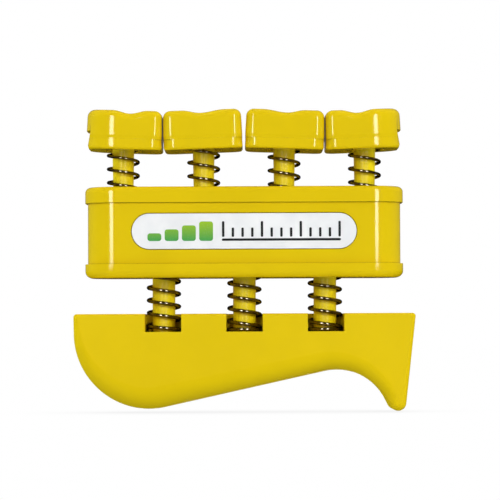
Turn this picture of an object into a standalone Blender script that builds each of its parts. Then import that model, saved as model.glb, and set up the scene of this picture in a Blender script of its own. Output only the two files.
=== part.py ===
"""Four-finger hand exerciser: four sprung finger buttons on a hollow housing, carried by
three sprung posts on a palm grip.

Metres, +Z up. The origin is on the ground under the middle post: X runs along the row of
buttons, -Y is the labelled front. Every length below is in millimetres and is scaled by MM.
"""

import math

import bmesh
import bpy
from mathutils import Matrix, Vector

MM = 0.001

# ---------------------------------------------------------------- shared dimensions (mm)
DEPTH = 25.4            # front to back, grip and housing lips
PITCH = 24.1            # button to button, and post to post
FINGER_X = (-1.5 * PITCH, -0.5 * PITCH, 0.5 * PITCH, 1.5 * PITCH)
POST_X = (-PITCH, 0.0, PITCH)

GRIP_TOP = 29.0
POCKET_FLOOR = 23.65
HOUSING_BOTTOM, HOUSING_TOP = 39.7, 66.7
FINGER_TUBE_END = 57.0
POST_TUBE_END = 49.6
HEAD_BASE_Z = 77.85

SEAT_R = 5.4            # seats that hide each spring's closed end
FINGER_SEAT_DEPTH = 1.4
POST_SEAT_DEPTH = 1.9
HEAD_SEAT_DEPTH = 1.9

COLLAR_R = 4.8
COLLAR_BOTTOM, COLLAR_TOP = 16.2, 18.0
SPIGOT_R = 2.2          # plunger's upper end, inside the button base

GAP = 0.05              # between pieces that meet face to face
CUT_PAST = 3.0          # how far housing and head cutters run past a face
ROUND_SIDES = 18        # sides of cylinders and turned parts
SHARP_ANGLE = 30.0      # edges steeper than this, in degrees, stay sharp


# ---------------------------------------------------------------- scene and materials
for old in list(bpy.data.objects):
    bpy.data.objects.remove(old, do_unlink=True)

parts = bpy.data.collections.new("finger_exerciser")
cutters = bpy.data.collections.new("cutters")
for group in (parts, cutters):
    bpy.context.scene.collection.children.link(group)


def material(name, colour, roughness, metallic=0.0):
    made = bpy.data.materials.new(name)
    made.use_nodes = True
    shader = made.node_tree.nodes["Principled BSDF"]
    shader.inputs["Base Color"].default_value = (*colour, 1.0)
    shader.inputs["Roughness"].default_value = roughness
    shader.inputs["Metallic"].default_value = metallic
    made.diffuse_color = (*colour, 1.0)
    return made


YELLOW = material("yellow_abs", colour=(0.76, 0.55, 0.012), roughness=0.22)
YELLOW_GRIP = material("yellow_grip", colour=(0.75, 0.54, 0.012), roughness=0.32)
WIRE = material("spring_steel", colour=(0.10, 0.09, 0.07), roughness=0.25, metallic=1.0)
CLIP_STEEL = material("clip_steel", colour=(0.32, 0.32, 0.33), roughness=0.35, metallic=1.0)
BADGE_WHITE = material("badge_white", colour=(0.87, 0.88, 0.89), roughness=0.4)


# ---------------------------------------------------------------- objects
def part(name, mesh, look):
    """A visible piece, shaded smooth between its sharp edges."""
    made = bpy.data.objects.new(name, mesh)
    parts.objects.link(made)
    mesh.materials.append(look)
    mesh.shade_smooth()
    mesh.set_sharp_from_angle(angle=math.radians(SHARP_ANGLE))
    return made


def tool(name, mesh):
    """A hidden helper for boolean modifiers."""
    made = bpy.data.objects.new(name, mesh)
    cutters.objects.link(made)
    made.hide_render = True
    made.display_type = "WIRE"
    return made


def cut(target, *tools, operation="DIFFERENCE"):
    for helper in tools:
        step = target.modifiers.new(helper.name, "BOOLEAN")
        step.operation = operation
        step.solver = "EXACT"
        step.object = helper


# ---------------------------------------------------------------- meshes
def mesh_from(bm):
    bmesh.ops.recalc_face_normals(bm, faces=bm.faces[:])
    mesh = bpy.data.meshes.new("mesh")
    bm.to_mesh(mesh)
    bm.free()
    return mesh


def loft(loops):
    """Skins a stack of loops with the same number of points, and closes both ends."""
    bm = bmesh.new()
    rings = [[bm.verts.new(Vector(point) * MM) for point in loop] for loop in loops]
    count = len(rings[0])
    for low, high in zip(rings, rings[1:]):
        for i in range(count):
            j = (i + 1) % count
            bm.faces.new((low[i], low[j], high[j], high[i]))
    bm.faces.new(rings[0][::-1])
    bm.faces.new(rings[-1])
    return mesh_from(bm)


def extrude(points, offset):
    """A flat face through the points, swept by the offset."""
    bm = bmesh.new()
    face = bm.faces.new([bm.verts.new([c * MM for c in point]) for point in points])
    swept = bmesh.ops.extrude_face_region(bm, geom=[face])["geom"]
    moved = [v for v in swept if isinstance(v, bmesh.types.BMVert)]
    bmesh.ops.translate(bm, verts=moved, vec=[c * MM for c in offset])
    return mesh_from(bm)


def prism(outline, low, high):
    """A flat outline [(x, z)] swept along Y from low to high."""
    return extrude([(x, low, z) for x, z in outline], (0, high - low, 0))


def cylinder(radius, z_from, z_to, x):
    """An upright cylinder on the row's centre line, its two ends given in either order."""
    bm = bmesh.new()
    bmesh.ops.create_cone(
        bm, cap_ends=True, segments=ROUND_SIDES, radius1=radius * MM, radius2=radius * MM,
        depth=abs(z_to - z_from) * MM,
        matrix=Matrix.Translation(Vector((x, 0, (z_from + z_to) / 2)) * MM),
    )
    return mesh_from(bm)


def box(low, high):
    size = [(b - a) * MM for a, b in zip(low, high)]
    middle = [(a + b) / 2 for a, b in zip(low, high)]
    bm = bmesh.new()
    bmesh.ops.create_cube(
        bm, size=1.0,
        matrix=Matrix.Translation(Vector(middle) * MM) @ Matrix.Diagonal((*size, 1.0)),
    )
    return mesh_from(bm)


def turned(name, profile, x):
    """A profile [(radius, z)] from the top axis point, down its outer side, to the bottom one."""
    mesh = bpy.data.meshes.new(name)
    mesh.from_pydata(
        [(r * MM, 0.0, z * MM) for r, z in profile],
        [(i, i + 1) for i in range(len(profile) - 1)], [],
    )
    made = bpy.data.objects.new(name, mesh)
    parts.objects.link(made)
    made.location = (x * MM, 0.0, 0.0)
    mesh.materials.append(YELLOW)
    spin = made.modifiers.new("turn", "SCREW")
    spin.steps = spin.render_steps = ROUND_SIDES
    spin.use_merge_vertices = True
    spin.merge_threshold = 0.00001
    spin.use_smooth_shade = True


# ---------------------------------------------------------------- outlines
def arc(centre_x, centre_y, radius, start, end, steps):
    """Points on an arc in degrees, both ends included."""
    angles = [math.radians(start + (end - start) * k / steps) for k in range(steps + 1)]
    return [(centre_x + radius * math.cos(a), centre_y + radius * math.sin(a)) for a in angles]


def plan(left, right, half_y, left_r, right_r, inset, steps, along=0, across=0):
    """Rounded rectangle in plan, anticlockwise from the +X side, pulled in by inset.

    Each corner has the given steps. The sides that run in X get `along` extra points and
    those that run in Y get `across`.
    """
    left, right, half_y = left + inset, right - inset, half_y - inset
    left_r = min(max(left_r - inset, 0.25), half_y - 0.01)
    right_r = min(max(right_r - inset, 0.25), half_y - 0.01)
    corners = [
        arc(right - right_r, half_y - right_r, right_r, 0, 90, steps),
        arc(left + left_r, half_y - left_r, left_r, 90, 180, steps),
        arc(left + left_r, -half_y + left_r, left_r, 180, 270, steps),
        arc(right - right_r, -half_y + right_r, right_r, 270, 360, steps),
    ]
    points = []
    for k, corner in enumerate(corners):
        points += corner
        (x0, y0), (x1, y1) = corner[-1], corners[(k + 1) % 4][0]
        extra = across if k % 2 else along
        for s in range(1, extra + 1):
            t = s / (extra + 1)
            points.append((x0 + (x1 - x0) * t, y0 + (y1 - y0) * t))
    return points


def level(points, z):
    return [(x, y, z) for x, y in points]


def fillet(radius, steps):
    """(inset, drop) pairs of a quarter round, from the wall to the flat."""
    angles = [math.radians(90 * k / steps) for k in range(steps + 1)]
    return [(radius * (1 - math.cos(a)), radius * (1 - math.sin(a))) for a in angles]


# ---------------------------------------------------------------- palm grip
GRIP_HALF_LENGTH = 50.6
BULB_R = 22.2           # heel of the grip, fills the palm
BULB_CENTRE = (BULB_R - GRIP_HALF_LENGTH, 23.0)
ARCH_R = 16.8           # thumb web arch
ARCH_CENTRE = (27.35, -4.57)
TIP_R = 2.45            # rounded tip of the hook
TIP_CENTRE = (45.35, TIP_R)
GRIP_CORNER_R = 1.0
GRIP_PIECE = 9.0        # target length of the pieces of a long straight
EDGE_ROLL_DEPTH = 1.2   # depth of the rolled edge in Y, as a share of its edge round
EDGE_STEPS = 3
SEAM = 0.1              # gap between the two grip shells

POCKET_W = 10.8         # width of each spring pocket: square in front, round in the rear
POCKET_BACK = 0.5       # how far the square pocket reaches past the seam plane
POCKET_CUT_TOP = GRIP_TOP + 5
SOCKET_R = 3.6
SOCKET_BOTTOM = 15.3
SOCKET_CUT_TOP = GRIP_TOP + 4
COLLAR_PLAY = 0.2

CHAMBER_ROOF = GRIP_TOP - 2.6
CHAMBER_FLOOR = 4.0     # thickness left above the underside
CHAMBER_HALF_Y = DEPTH / 2 - 3.0
CHAMBER_STEPS = 5
CHAMBER_REACH = POCKET_W / 2 + 2.3      # from a post's axis to the nearest chamber
# left and right ends of the chambers that core out the grip beside the pockets
CHAMBERS = (
    (-46.5, -PITCH - CHAMBER_REACH),
    (-PITCH + CHAMBER_REACH, -CHAMBER_REACH),
    (CHAMBER_REACH, PITCH - CHAMBER_REACH),
    (PITCH + CHAMBER_REACH, 38.0),
)


def tangent_direction(centre1, radius1, centre2, radius2, turn):
    """Direction, in degrees, of the line touching two circles that lie on opposite sides of it."""
    dx, dz = centre2[0] - centre1[0], centre2[1] - centre1[1]
    lean = math.degrees(math.asin((radius1 + radius2) / math.hypot(dx, dz)))
    return math.degrees(math.atan2(dz, dx)) + turn * lean


def hook_back_bearing():
    """Direction, in degrees, from the tip's centre to where the hook's straight back touches."""
    dx = GRIP_HALF_LENGTH - TIP_CENTRE[0]
    dz = GRIP_TOP - GRIP_CORNER_R - TIP_CENTRE[1]
    return math.degrees(math.atan2(dz, dx)) - math.degrees(math.acos(TIP_R / math.hypot(dx, dz)))


BELLY = tangent_direction(BULB_CENTRE, BULB_R, ARCH_CENTRE, ARCH_R, 1)    # straight underside
THROAT = tangent_direction(ARCH_CENTRE, ARCH_R, TIP_CENTRE, TIP_R, -1)    # inside of the hook


def grip_outline():
    """[(x, z, edge round)] anticlockwise seen from the front.

    The edge round is how far the side rolls over onto the flat face.
    """
    corner_x, corner_z = GRIP_HALF_LENGTH - GRIP_CORNER_R, GRIP_TOP - GRIP_CORNER_R
    # arc points, edge round at the first point, edge round at the last
    runs = [
        (arc(-corner_x, corner_z, GRIP_CORNER_R, 90, 180, 3), 0.8, 1.2),
        (arc(*BULB_CENTRE, BULB_R, 180, 225, 5), 2.6, 6.2),
        (arc(*BULB_CENTRE, BULB_R, 225, 270 + BELLY, 6)[1:], 6.4, 7.0),
        (arc(*ARCH_CENTRE, ARCH_R, 90 + BELLY, 90 + THROAT, 8), 6.2, 3.4),
        (arc(*TIP_CENTRE, TIP_R, 270 + THROAT, 360 + hook_back_bearing(), 6), 2.2, 1.6),
        (arc(corner_x, corner_z, GRIP_CORNER_R, 0, 90, 3), 0.9, 0.6),
    ]
    points = []
    for run, first, last in runs:
        for k, (x, z) in enumerate(run):
            points.append((x, z, first + (last - first) * k / (len(run) - 1)))
    # split the long straights: underside, throat, back of the hook
    split = []
    for (x0, z0, e0), (x1, z1, e1) in zip(points, points[1:] + points[:1]):
        split.append((x0, z0, e0))
        length = math.hypot(x1 - x0, z1 - z0)
        pieces = 1 if z0 == z1 == GRIP_TOP else max(1, round(length / GRIP_PIECE))
        for k in range(1, pieces):
            t = k / pieces
            split.append((x0 + (x1 - x0) * t, z0 + (z1 - z0) * t, e0 + (e1 - e0) * t))
    return split


def grip_loop(outline, roll):
    """The outline pulled in by roll times each point's edge round, along its inward normal."""
    loop = []
    for i, (x, z, edge) in enumerate(outline):
        x0, z0, _ = outline[i - 1]
        x1, z1, _ = outline[(i + 1) % len(outline)]
        tangent = Vector((x1 - x0, z1 - z0)).normalized()
        loop.append((x - tangent.y * roll * edge, z + tangent.x * roll * edge))
    return loop


def grip_shell(name, side, pockets, shared_tools):
    """One shell of the grip: side -1 is the front, +1 the rear."""
    outline = grip_outline()
    loops = []
    for k in range(EDGE_STEPS + 1):
        angle = math.radians(90 * k / EDGE_STEPS)
        depth = EDGE_ROLL_DEPTH * (1 - math.cos(angle))
        loops.append([
            (x, side * (DEPTH / 2 - depth * edge), z)
            for (x, z), (_, _, edge) in zip(grip_loop(outline, 1 - math.sin(angle)), outline)
        ])
    loops.append([(x, side * SEAM / 2, z) for x, z, _ in outline])
    shell = part(name, loft(loops), YELLOW_GRIP)
    chambers, sockets, collar_grooves = shared_tools
    cut(shell, *chambers, *pockets, *sockets, *collar_grooves)


def underside(x):
    """Height of the grip's underside, from the bulb to the arch."""
    slope = math.radians(BELLY)
    bulb_end = BULB_CENTRE[0] + BULB_R * math.sin(slope)
    arch_start = ARCH_CENTRE[0] - ARCH_R * math.sin(slope)
    if x < bulb_end:
        return BULB_CENTRE[1] - math.sqrt(BULB_R**2 - (x - BULB_CENTRE[0]) ** 2)
    if x < arch_start:
        return BULB_CENTRE[1] - BULB_R * math.cos(slope) + (x - bulb_end) * math.tan(slope)
    return ARCH_CENTRE[1] + math.sqrt(ARCH_R**2 - (x - ARCH_CENTRE[0]) ** 2)


def chamber(left, right):
    """A chamber whose floor follows the underside."""
    stations = [left + (right - left) * s / CHAMBER_STEPS for s in range(CHAMBER_STEPS + 1)]
    floor = [(x, underside(x) + CHAMBER_FLOOR) for x in stations]
    roof = [(right, CHAMBER_ROOF), (left, CHAMBER_ROOF)]
    return prism(floor + roof, -CHAMBER_HALF_Y, CHAMBER_HALF_Y)


def pocket_slot(x):
    return box(
        (x - POCKET_W / 2, -DEPTH, POCKET_FLOOR), (x + POCKET_W / 2, POCKET_BACK, POCKET_CUT_TOP)
    )


def palm_grip():
    chambers = [tool(f"chamber_{n}", chamber(*span)) for n, span in enumerate(CHAMBERS, 1)]
    slots, rounds, sockets, collars = [], [], [], []
    for n, x in enumerate(POST_X, 1):
        slots.append(tool(f"pocket_slot_{n}", pocket_slot(x)))
        rounds.append(tool(
            f"pocket_round_{n}", cylinder(POCKET_W / 2, POCKET_FLOOR, POCKET_CUT_TOP, x)))
        sockets.append(tool(
            f"socket_{n}", cylinder(SOCKET_R, SOCKET_BOTTOM, SOCKET_CUT_TOP, x)))
        collars.append(tool(f"collar_groove_{n}", cylinder(
            COLLAR_R + COLLAR_PLAY, COLLAR_BOTTOM - COLLAR_PLAY, COLLAR_TOP + COLLAR_PLAY, x)))
    shared_tools = (chambers, sockets, collars)
    grip_shell("palm_grip_front", -1, slots, shared_tools)
    grip_shell("palm_grip_rear", 1, rounds, shared_tools)


# ---------------------------------------------------------------- retaining clips
CLIP_THICKNESS = 0.8
CLIP_PLAY = 0.1         # around a clip, and between its groove and the tube's end
CLIP_GROOVE = CLIP_THICKNESS + 2 * CLIP_PLAY
CLIP_LUG = 0.9          # how far the lugs stand in from the bore
LUG_ANGLES = (150, 270, 390)
LUG_HALF_ANGLE = 20


def clip(name, x, groove_z, neck_r, outer_r):
    """A flat C-shaped clip with three inward lugs, open towards the rear."""
    rim = arc(0, 0, outer_r, 125, 415, 12)
    bore = []
    for degrees in range(410, 129, -20):
        lug = min(abs(degrees - middle) for middle in LUG_ANGLES) <= LUG_HALF_ANGLE
        r = neck_r + CLIP_PLAY + (0 if lug else CLIP_LUG)
        bore.append((r * math.cos(math.radians(degrees)), r * math.sin(math.radians(degrees))))
    z = groove_z + CLIP_PLAY
    mesh = extrude([(x + dx, y, z) for dx, y in rim + bore], (0, 0, CLIP_THICKNESS))
    part(name, mesh, CLIP_STEEL)


# ---------------------------------------------------------------- posts
POST_R = 3.4
POST_NECK_R = 2.3
POST_TOP = 51.8
POST_CHAMFER = 0.5
POST_FOOT = 15.5
POST_CLIP_R = 4.9
POST_GROOVE_Z = POST_TUBE_END + CLIP_PLAY


def guide_post(n, x):
    groove_top = POST_GROOVE_Z + CLIP_GROOVE
    turned(f"guide_post_{n}", [
        (0, POST_TOP), (POST_R - POST_CHAMFER, POST_TOP), (POST_R, POST_TOP - POST_CHAMFER),
        (POST_R, groove_top), (POST_NECK_R, groove_top),
        (POST_NECK_R, POST_GROOVE_Z), (POST_R, POST_GROOVE_Z),
        (POST_R, COLLAR_TOP), (COLLAR_R, COLLAR_TOP), (COLLAR_R, COLLAR_BOTTOM),
        (POST_R, COLLAR_BOTTOM), (POST_R, POST_FOOT), (0, POST_FOOT),
    ], x)
    clip(f"post_clip_{n}", x, POST_GROOVE_Z, POST_NECK_R, POST_CLIP_R)


# ---------------------------------------------------------------- housing
LIP_HALF_X = 47.4
LIP_CORNER = 9.2        # upright corners of the lips, in plan
SLEEVE_STEP = 0.8       # sleeve stands back from the lips
WALL = 2.2
PLATE = 3.2             # thickness of the lids' flat plates
SPIGOT = 2.0            # how far the lids enter the sleeve
SPIGOT_WALL = 1.4
SPIGOT_PLAY = 0.12
TUBE_ROOT = 1.2         # where the tubes start, in from the lids' outer faces
TOP_JOINT = HOUSING_TOP - 4.75
BOTTOM_JOINT = HOUSING_BOTTOM + 4.15

BADGE_LENGTH, BADGE_HEIGHT, BADGE_THICKNESS = 66.5, 10.5, 0.5
BADGE_Z = 53.4
BADGE_MARGIN = 0.4      # extra length and height of the recess
BADGE_GAP = 0.04        # behind the badge
RECESS_DEPTH = 0.55
RECESS_CUT_PAST = 2.0


def case_plan(inset=0.0):
    """Plan of the housing at its lips, pulled in by inset."""
    return plan(-LIP_HALF_X, LIP_HALF_X, DEPTH / 2, LIP_CORNER, LIP_CORNER, inset, 5)


def lid(name, up, outer_z, joint_z, rim_r):
    """Lip band with a rounded rim, hollowed from the sleeve side, with a spigot that enters
    the sleeve. up is +1 for the top lid and -1 for the bottom one."""
    spigot = SLEEVE_STEP + WALL + SPIGOT_PLAY
    hollow = spigot + SPIGOT_WALL
    loops = [level(case_plan(inset), outer_z - up * drop)
             for inset, drop in reversed(fillet(rim_r, 3))]
    loops += [
        level(case_plan(), joint_z),
        level(case_plan(spigot), joint_z),
        level(case_plan(spigot), joint_z - up * SPIGOT),
        level(case_plan(hollow), joint_z - up * SPIGOT),
        level(case_plan(hollow), outer_z - up * PLATE),
    ]
    if up < 0:
        loops = [loop[::-1] for loop in loops]
    return part(name, loft(loops), YELLOW)


def add_tubes(target, prefix, row, up, outer_z, tube_end, tube_r, bore_r, seat_depth):
    """Adds a row of tubes inside a lid, then bores them and sinks a spring seat at each."""
    past = outer_z + up * CUT_PAST
    for n, x in enumerate(row, 1):
        tube = cylinder(tube_r, tube_end, outer_z - up * TUBE_ROOT, x)
        cut(target, tool(f"{prefix}_tube_{n}", tube), operation="UNION")
    for n, x in enumerate(row, 1):
        bore = cylinder(bore_r, tube_end - up * CUT_PAST, past, x)
        seat = cylinder(SEAT_R, outer_z - up * seat_depth, past, x)
        cut(target, tool(f"{prefix}_bore_{n}", bore), tool(f"{prefix}_seat_{n}", seat))


def badge_outline(length, height):
    r = height / 2
    return (arc(length / 2 - r, BADGE_Z, r, -90, 90, 10)
            + arc(-length / 2 + r, BADGE_Z, r, 90, 270, 10))


def sleeve_and_badge():
    sleeve = part("housing_sleeve", loft([
        level(case_plan(SLEEVE_STEP), BOTTOM_JOINT),
        level(case_plan(SLEEVE_STEP), TOP_JOINT),
    ]), YELLOW)
    hollow = loft([
        level(case_plan(SLEEVE_STEP + WALL), BOTTOM_JOINT - CUT_PAST),
        level(case_plan(SLEEVE_STEP + WALL), TOP_JOINT + CUT_PAST),
    ])
    front = -(DEPTH / 2 - SLEEVE_STEP)
    floor = front + RECESS_DEPTH
    recess = prism(
        badge_outline(BADGE_LENGTH + BADGE_MARGIN, BADGE_HEIGHT + BADGE_MARGIN),
        front - RECESS_CUT_PAST, floor)
    cut(sleeve, tool("sleeve_hollow", hollow), tool("badge_recess", recess))
    part("badge", prism(
        badge_outline(BADGE_LENGTH, BADGE_HEIGHT),
        floor - BADGE_THICKNESS - BADGE_GAP, floor - BADGE_GAP), BADGE_WHITE)


def housing():
    top = lid("housing_top_cap", up=1, outer_z=HOUSING_TOP, joint_z=TOP_JOINT + GAP, rim_r=1.6)
    bottom = lid("housing_bottom_cap", up=-1, outer_z=HOUSING_BOTTOM,
                 joint_z=BOTTOM_JOINT - GAP, rim_r=2.0)
    add_tubes(top, "finger", FINGER_X, up=1, outer_z=HOUSING_TOP, tube_end=FINGER_TUBE_END,
              tube_r=5.0, bore_r=3.45, seat_depth=FINGER_SEAT_DEPTH)
    add_tubes(bottom, "post", POST_X, up=-1, outer_z=HOUSING_BOTTOM, tube_end=POST_TUBE_END,
              tube_r=5.1, bore_r=3.55, seat_depth=POST_SEAT_DEPTH)
    sleeve_and_badge()


# ---------------------------------------------------------------- finger heads
# Heads are modelled with their base at z = 0 and their outer side towards -X.
HEAD_H = 11.95
HEAD_HALF_Y = 12.3
HEAD_HALF_X = 11.75
HEAD_OUTER_X = 10.95    # reach towards the outer end on the two outer heads
HEAD_OUTER_CORNER = 8.8
HEAD_CORNER = 2.6
SKIRT_CORNER = 3.4
SKIRT_FILLET = 0.8
PARTING = 3.1           # height where the pad meets its base
DRAFT = math.tan(math.radians(1.2))
TOP_FILLET = 2.2
TOP_RINGS = (4.4, 7.2, 9.8)     # insets of the loops across the top
CROWN = 0.5
PAD_WALL = 1.9
PAD_ROOF = 3.4
PLUG_PLAY = 0.15
PLUG_H = 2.4
CANT = 1.85             # degrees each head leans on its plunger
# groove: offset from the plunger, reach outwards, reach inwards, depth
GROOVE_OUTER = (2.1, 5.2, 5.2, 0.95)
GROOVE_INNER = (-0.55, 5.4, 7.2, 0.85)
BASE_HOLE_R = SPIGOT_R + 0.3
BASE_HOLE_TOP = HEAD_BASE_Z + 9

# (x, z) of the notch across the outer end of the outer heads
NOTCH = [
    (-HEAD_OUTER_X - 2, 5.45), (-HEAD_OUTER_X + 1.35, 5.45), (-HEAD_OUTER_X + 0.65, 1.0),
    (-HEAD_OUTER_X + 1.0, -0.1), (-HEAD_OUTER_X + 1.0, -1.5), (-HEAD_OUTER_X - 2, -1.5),
]
NOTCH_HALF_Y = 16


def head_plan(outer, inset, radius=HEAD_CORNER):
    """Plan of a head. Outer heads follow the housing's rounded end."""
    left = HEAD_OUTER_X if outer else HEAD_HALF_X
    left_r = HEAD_OUTER_CORNER if outer else radius
    return plan(-left, HEAD_HALF_X, HEAD_HALF_Y, left_r, radius, inset, 4, along=5, across=1)


def head_top(outer, x, y):
    """Height of the grooved and crowned top."""
    offset, outward, inward, depth = GROOVE_OUTER if outer else GROOVE_INNER
    reach = outward if x < offset else inward
    dip = 0.0
    if abs(x - offset) < reach:
        dip = depth * 0.5 * (1 + math.cos(math.pi * (x - offset) / reach))
    return HEAD_H - dip - CROWN * (y / HEAD_HALF_Y) ** 2


def pad_mesh(outer):
    """Finger pad: drafted sides, rounded rim, grooved and crowned top, hollow underneath."""
    loops = [
        level(head_plan(outer, PAD_WALL), HEAD_H - PAD_ROOF),
        level(head_plan(outer, PAD_WALL), PARTING),
        level(head_plan(outer, 0), PARTING),
    ]
    lean = DRAFT * (HEAD_H - TOP_FILLET - PARTING)
    for inset, drop in fillet(TOP_FILLET, 3) + [(ring, 0.0) for ring in TOP_RINGS]:
        points = head_plan(outer, lean + inset)
        loops.append([(x, y, head_top(outer, x, y) - drop) for x, y in points])
    return loft(loops)


def base_mesh(outer):
    """Skirt that carries the pad: rounded lower rim, a step, and a plug that enters the pad."""
    plug = head_plan(outer, PAD_WALL + PLUG_PLAY)
    loops = [level(head_plan(outer, inset, SKIRT_CORNER), drop)
             for inset, drop in reversed(fillet(SKIRT_FILLET, 2))]
    loops += [
        level(head_plan(outer, 0, SKIRT_CORNER), PARTING - GAP),
        level(plug, PARTING - GAP),
        level(plug, PARTING + PLUG_H),
    ]
    return loft(loops)


def set_on_plunger(mesh, index):
    """Mirrors the right-hand heads, leans each pair of heads together, and lifts the mesh
    onto its plunger's axis."""
    right = index > 1
    lean = CANT if index % 2 == 0 else -CANT
    mesh.transform(
        Matrix.Translation(Vector((FINGER_X[index], 0, HEAD_BASE_Z)) * MM)
        @ Matrix.Rotation(math.radians(lean), 4, "Y")
        @ Matrix.Diagonal((-1 if right else 1, 1, 1, 1))
    )
    if right:
        mesh.flip_normals()
    return mesh


def finger_head(index, x):
    n = index + 1
    outer = index in (0, 3)
    pad = part(f"finger_pad_{n}", set_on_plunger(pad_mesh(outer), index), YELLOW)
    base = part(f"button_base_{n}", set_on_plunger(base_mesh(outer), index), YELLOW)
    bottom = HEAD_BASE_Z - CUT_PAST
    hole = cylinder(BASE_HOLE_R, bottom, BASE_HOLE_TOP, x)
    seat = cylinder(SEAT_R, bottom, HEAD_BASE_Z + HEAD_SEAT_DEPTH, x)
    cut(base, tool(f"base_hole_{n}", hole), tool(f"base_seat_{n}", seat))
    if outer:
        mesh = set_on_plunger(prism(NOTCH, -NOTCH_HALF_Y, NOTCH_HALF_Y), index)
        notch = tool(f"end_notch_{n}", mesh)
        cut(pad, notch)
        cut(base, notch)


# ---------------------------------------------------------------- plungers
PLUNGER_R_TOP = 3.3
PLUNGER_R = 3.05
PLUNGER_NECK_R = 2.1
PLUNGER_TAPER_END = HOUSING_TOP - 0.5
PLUNGER_END = 54.7
PLUNGER_CHAMFER = 0.4
PLUNGER_CLIP_R = 4.5
PLUNGER_GROOVE_Z = FINGER_TUBE_END - CLIP_PLAY - CLIP_GROOVE
SPIGOT_TOP = HEAD_BASE_Z + 5.0
SPIGOT_CHAMFER = 0.3


def plunger(n, x):
    shoulder = HEAD_BASE_Z + HEAD_SEAT_DEPTH - GAP
    groove_top = PLUNGER_GROOVE_Z + CLIP_GROOVE
    turned(f"plunger_{n}", [
        (0, SPIGOT_TOP), (SPIGOT_R - SPIGOT_CHAMFER, SPIGOT_TOP),
        (SPIGOT_R, SPIGOT_TOP - SPIGOT_CHAMFER), (SPIGOT_R, shoulder),
        (PLUNGER_R_TOP, shoulder), (PLUNGER_R, PLUNGER_TAPER_END),
        (PLUNGER_R, groove_top), (PLUNGER_NECK_R, groove_top),
        (PLUNGER_NECK_R, PLUNGER_GROOVE_Z), (PLUNGER_R, PLUNGER_GROOVE_Z),
        (PLUNGER_R, PLUNGER_END + PLUNGER_CHAMFER),
        (PLUNGER_R - PLUNGER_CHAMFER, PLUNGER_END), (0, PLUNGER_END),
    ], x)
    clip(f"plunger_clip_{n}", x, PLUNGER_GROOVE_Z, PLUNGER_NECK_R, PLUNGER_CLIP_R)


# ---------------------------------------------------------------- springs
# outer diameter, wire diameter, number of turns, and the two faces each spring sits between
FINGER_SPRING = dict(
    diameter=9.95, wire=0.95, turns=4.72,
    floor=HOUSING_TOP - FINGER_SEAT_DEPTH, roof=HEAD_BASE_Z + HEAD_SEAT_DEPTH)
POST_SPRING = dict(
    diameter=10.35, wire=1.08, turns=5.89,
    floor=POCKET_FLOOR, roof=HOUSING_BOTTOM + POST_SEAT_DEPTH)
# turns from the bottom end of the wire to the first pass across the front
FINGER_SPRING_PHASE = (0.105, 0.56, 0.95, 0.065)
POST_SPRING_PHASE = (0.83, 0.17, 0.145)
STEPS_PER_TURN = 10
# each closed end climbs at a small share of the open pitch, then eases into it
CLOSED_SHARE = 0.06
CLOSED_TURNS = 0.42
EASE_TURNS = 0.68


def climb(t):
    """Rise after t turns from a closed end, in units of the open pitch."""
    s = min(max((t - CLOSED_TURNS) / EASE_TURNS, 0.0), 1.0)
    opened = EASE_TURNS * (s**3 - s**4 / 2) + max(0.0, t - CLOSED_TURNS - EASE_TURNS)
    return CLOSED_SHARE * t + (1 - CLOSED_SHARE) * opened


def spring(name, x, phase, diameter, wire, turns, floor, roof):
    """Left-hand compression spring with closed ends."""
    radius = (diameter - wire) / 2
    bottom, top = floor + GAP + wire / 2, roof - GAP - wire / 2
    steps = round(turns * STEPS_PER_TURN)
    open_turns = turns - 2 * CLOSED_TURNS - EASE_TURNS
    pitch = (top - bottom) / (CLOSED_SHARE * turns + (1 - CLOSED_SHARE) * open_turns)

    def rise(t):
        half = turns / 2
        return pitch * (climb(t) if t <= half else 2 * climb(half) - climb(turns - t))

    curve = bpy.data.curves.new(name, "CURVE")
    curve.dimensions = "3D"
    curve.bevel_depth = wire / 2 * MM
    curve.bevel_resolution = 1
    curve.use_fill_caps = True
    line = curve.splines.new("POLY")
    line.points.add(steps)
    for k, point in enumerate(line.points):
        t = turns * k / steps
        angle = -math.pi / 2 - 2 * math.pi * (t - phase)
        point.co = (
            radius * math.cos(angle) * MM, radius * math.sin(angle) * MM,
            (bottom + rise(t)) * MM, 1.0,
        )
    made = bpy.data.objects.new(name, curve)
    made.location = (x * MM, 0, 0)
    curve.materials.append(WIRE)
    parts.objects.link(made)


# ---------------------------------------------------------------- assembly
palm_grip()
housing()
for k, x in enumerate(POST_X):
    guide_post(k + 1, x)
    spring(f"post_spring_{k + 1}", x, POST_SPRING_PHASE[k], **POST_SPRING)
for k, x in enumerate(FINGER_X):
    finger_head(k, x)
    plunger(k + 1, x)
    spring(f"finger_spring_{k + 1}", x, FINGER_SPRING_PHASE[k], **FINGER_SPRING)
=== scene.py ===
# A four-finger hand exerciser. X runs along the row of fingers, the front faces -Y and Z is up.
# The palm grip is lowest and carries three guide posts. The housing slides on the posts against
# springs, and four sprung finger heads stand on plungers above the housing.
import math

import bmesh
import bpy
from mathutils import Matrix, Vector


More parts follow.
